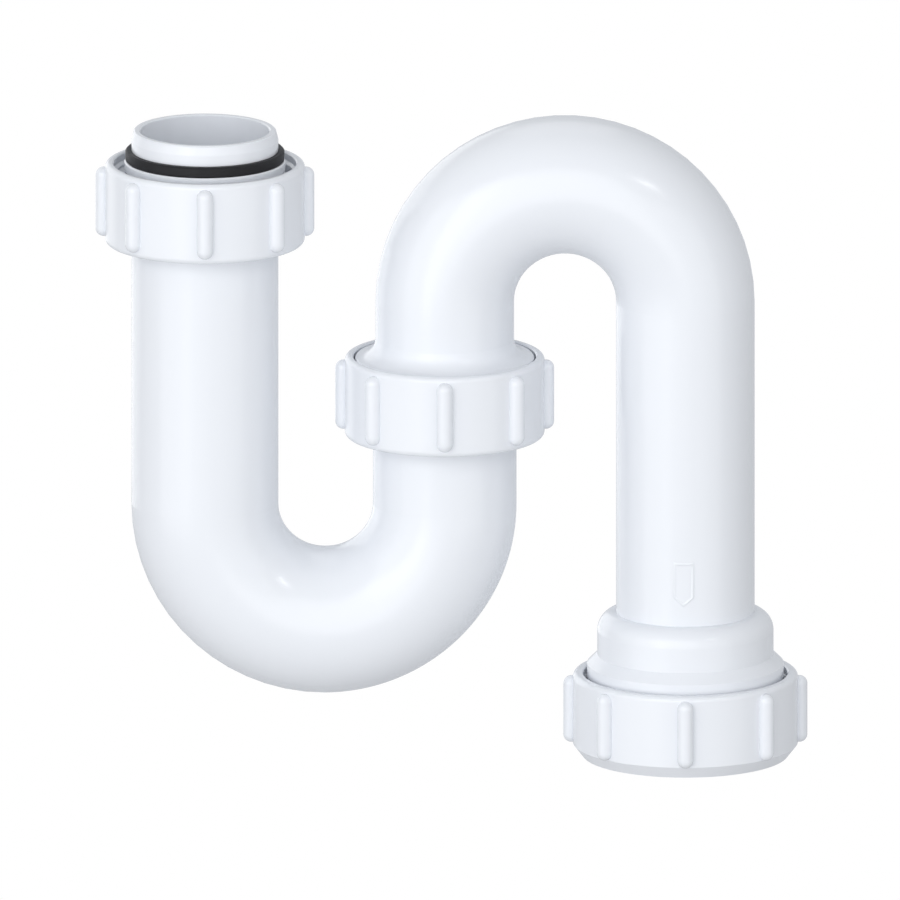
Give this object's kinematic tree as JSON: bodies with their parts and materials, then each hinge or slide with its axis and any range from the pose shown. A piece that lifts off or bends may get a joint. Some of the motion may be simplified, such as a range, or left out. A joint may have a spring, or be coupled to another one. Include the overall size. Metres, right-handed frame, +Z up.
{
  "type": "s trap",
  "caption": "Tubular swivel S trap for a sink or basin waste, with union nuts at the inlet and middle joint and a compression outlet.",
  "frame": {"origin": "on the inlet's axis, at the top face of the inlet washer, where the sink waste seats", "axes": "+Z up along the inlet's axis, +X from the inlet towards the outlet, +Y to the back"},
  "size_m": [0.1695, 0.0582, 0.1558],
  "materials": {
    "white_plastic": "gloss white moulded polypropylene",
    "black_rubber": "satin black rubber",
    "slip_plastic": "plain pale plastic"
  },
  "bodies": {
    "trap": {"u_bend": "white_plastic", "inlet_washer": "black_rubber", "middle_washer": "black_rubber"},
    "inlet_nut": {"inlet_nut": "white_plastic"},
    "outlet_bend": {"outlet_bend": "white_plastic"},
    "middle_nut": {"middle_nut": "white_plastic"},
    "outlet_seal": {"outlet_seal": "black_rubber", "slip_washer": "slip_plastic"},
    "outlet_nut": {"outlet_nut": "white_plastic"}
  },
  "joints": [
    {"name": "inlet_nut_turn", "type": "hinge", "parent": "trap", "child": "inlet_nut", "pos_m": [0, 0, -0.0125], "axis": [0, 0, 1], "continuous": true},
    {"name": "outlet_swivel", "type": "hinge", "parent": "trap", "child": "outlet_bend", "pos_m": [0.0571, 0, -0.06135], "axis": [0, 0, 1], "range_deg": [-128, 128]},
    {"name": "middle_nut_turn", "type": "hinge", "parent": "outlet_bend", "child": "middle_nut", "pos_m": [0.0571, 0, -0.06], "axis": [0, 0, 1], "continuous": true},
    {"name": "seal_travel", "type": "slide", "parent": "outlet_bend", "child": "outlet_seal", "axis": [0, 0, -1], "range_m": [0, 0.0082]},
    {"name": "outlet_nut_turn", "type": "hinge", "parent": "outlet_seal", "child": "outlet_nut", "pos_m": [0.1144, 0, -0.1378], "axis": [0, 0, -1], "range_deg": [0, 1260]}
  ],
  "couplings": [
    {"joint": "seal_travel", "follows": "outlet_nut_turn", "m_per_rad": 0.00036749}
  ]
}
